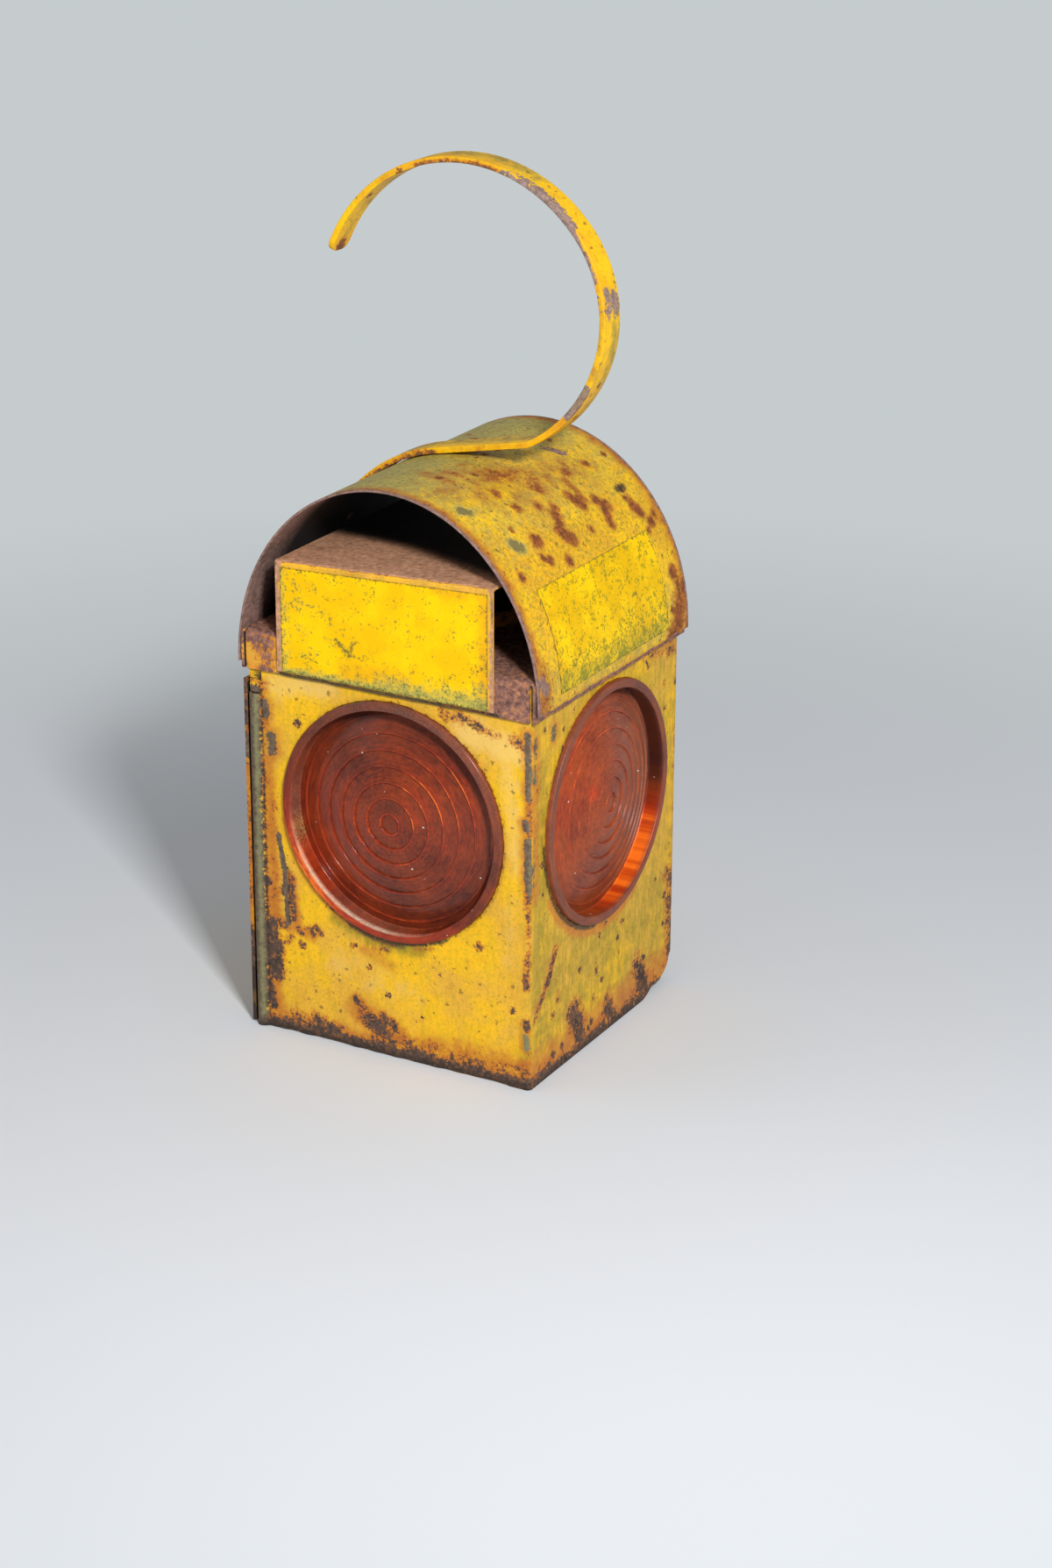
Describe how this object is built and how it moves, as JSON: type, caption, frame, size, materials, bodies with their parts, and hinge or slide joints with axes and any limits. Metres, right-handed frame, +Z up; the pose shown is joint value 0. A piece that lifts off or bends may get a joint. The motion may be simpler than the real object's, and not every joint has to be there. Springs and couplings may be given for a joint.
{
  "type": "railway lantern",
  "caption": "Sheet-metal railway oil lantern: folded box body, red stepped ring lenses, hinged side door, arched hood and a flat bar hook handle.",
  "frame": {"origin": "centre of the base pan's underside, on the surface that the lantern stands on", "axes": "+Z up, the front lens faces -Y, the second lens faces +X, the door is on the -X side"},
  "size_m": [0.169, 0.1583, 0.4301],
  "materials": {
    "yellow_paint": "weathered yellow paint, chipped and rust-spotted",
    "rusty_paint": "yellow paint mostly lost to orange and brown rust",
    "rusty_steel": "brown rusted sheet steel",
    "bare_steel": "dull oxidised steel",
    "red_lens": "dusty translucent red moulding",
    "tinplate": "dull tinned sheet",
    "brass": "tarnished",
    "cotton": "woven flat wick"
  },
  "bodies": {
    "lantern": {"body_shell": "yellow_paint", "edge_wire": "bare_steel", "base_pan": "rusty_steel", "lid_pan": "rusty_paint", "hood": "yellow_paint", "draught_baffle": "yellow_paint", "handle_strap": "yellow_paint", "handle_rivet_1": "rusty_steel", "handle_rivet_2": "rusty_steel", "lens_front": "red_lens", "lens_right": "red_lens", "lens_ring_front": "rusty_steel", "lens_ring_right": "rusty_steel", "hinge_leaf_body_1": "rusty_steel", "hinge_pin_1": "rusty_steel", "hinge_leaf_body_2": "rusty_steel", "hinge_pin_2": "rusty_steel", "wall_rivet_1": "rusty_steel", "wall_rivet_2": "rusty_steel", "wall_rivet_3": "rusty_steel", "wall_rivet_4": "rusty_steel", "font_tank": "tinplate", "font_guide_front": "tinplate", "font_guide_back": "tinplate", "font_stop": "tinplate", "burner_body": "brass", "wick_tube": "brass", "burner_cone": "brass"},
    "door": {"door_panel": "rusty_paint", "hinge_leaf_door_1": "rusty_steel", "hinge_leaf_door_2": "rusty_steel", "door_rivet_1": "rusty_steel", "door_rivet_2": "rusty_steel", "door_rivet_3": "rusty_steel", "door_rivet_4": "rusty_steel", "door_catch": "bare_steel", "catch_rivet_1": "rusty_steel", "catch_rivet_2": "rusty_steel"},
    "winder": {"winder_spindle": "brass", "winder_knob": "brass"},
    "wick": {"wick": "cotton"}
  },
  "joints": [
    {"name": "door_hinge", "type": "hinge", "parent": "lantern", "child": "door", "pos_m": [-0.0835, 0.0778, 0], "axis": [0, 0, -1], "range_deg": [0, 170]},
    {"name": "winder_turn", "type": "hinge", "parent": "lantern", "child": "winder", "pos_m": [0, -0.0053, 0.0773], "axis": [1, 0, 0], "range_deg": [-60, 120]},
    {"name": "wick_rise", "type": "slide", "parent": "lantern", "child": "wick", "axis": [0, 0, 1], "range_m": [-0.0045, 0.009]}
  ],
  "couplings": [
    {"joint": "wick_rise", "follows": "winder_turn", "m_per_rad": 0.004}
  ]
}
